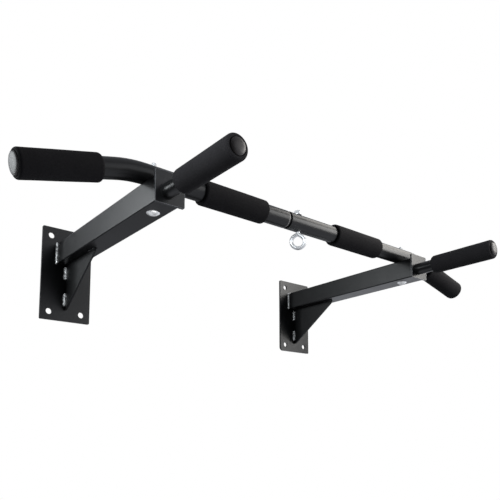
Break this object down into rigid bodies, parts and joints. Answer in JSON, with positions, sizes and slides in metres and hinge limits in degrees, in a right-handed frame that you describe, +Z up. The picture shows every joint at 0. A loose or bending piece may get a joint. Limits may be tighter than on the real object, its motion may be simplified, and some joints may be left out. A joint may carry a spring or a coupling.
{
  "type": "wall-mounted pull up bar",
  "caption": "Wall-mounted pull up bar: gusseted square-tube arms carry a bent tubular bar with foam grips and a hanging eye; foam-covered handles point forwards.",
  "frame": {"origin": "on the wall plane, midway between the wall plates and at half their height", "axes": "+X along the bar to the right as seen from the room, +Y into the wall, +Z up; the bar and handles stand out towards -Y"},
  "size_m": [1.1312, 0.6105, 0.212],
  "materials": {
    "black_powder_coat": "satin",
    "weld_metal": "satin",
    "black_foam": "matte",
    "cap_plastic": "gloss",
    "zinc_plate": "satin"
  },
  "bodies": {
    "bar_frame": {"left_wall_plate": "black_powder_coat", "right_wall_plate": "black_powder_coat", "left_arm": "black_powder_coat", "right_arm": "black_powder_coat", "left_gusset": "black_powder_coat", "right_gusset": "black_powder_coat", "left_weld_beads": "weld_metal", "right_weld_beads": "weld_metal", "left_front_plate": "black_powder_coat", "right_front_plate": "black_powder_coat", "left_handle_tube": "black_powder_coat", "right_handle_tube": "black_powder_coat", "left_handle_grip": "black_foam", "right_handle_grip": "black_foam", "left_handle_cap": "cap_plastic", "right_handle_cap": "cap_plastic", "left_bar_tube": "black_powder_coat", "right_bar_tube": "black_powder_coat", "left_inner_grip": "black_foam", "right_inner_grip": "black_foam", "left_outer_grip": "black_foam", "right_outer_grip": "black_foam", "left_bar_cap": "cap_plastic", "right_bar_cap": "cap_plastic", "left_arm_bolt": "zinc_plate", "right_arm_bolt": "zinc_plate", "joint_sleeve": "black_powder_coat"},
    "swivel_eye": {"eye_bolt": "zinc_plate", "eye_washer": "zinc_plate", "eye_nut": "zinc_plate"}
  },
  "joints": [
    {"name": "eye_swivel", "type": "hinge", "parent": "bar_frame", "child": "swivel_eye", "pos_m": [-0.004, -0.376, 0.0467], "axis": [0, 0, 1], "continuous": true}
  ]
}
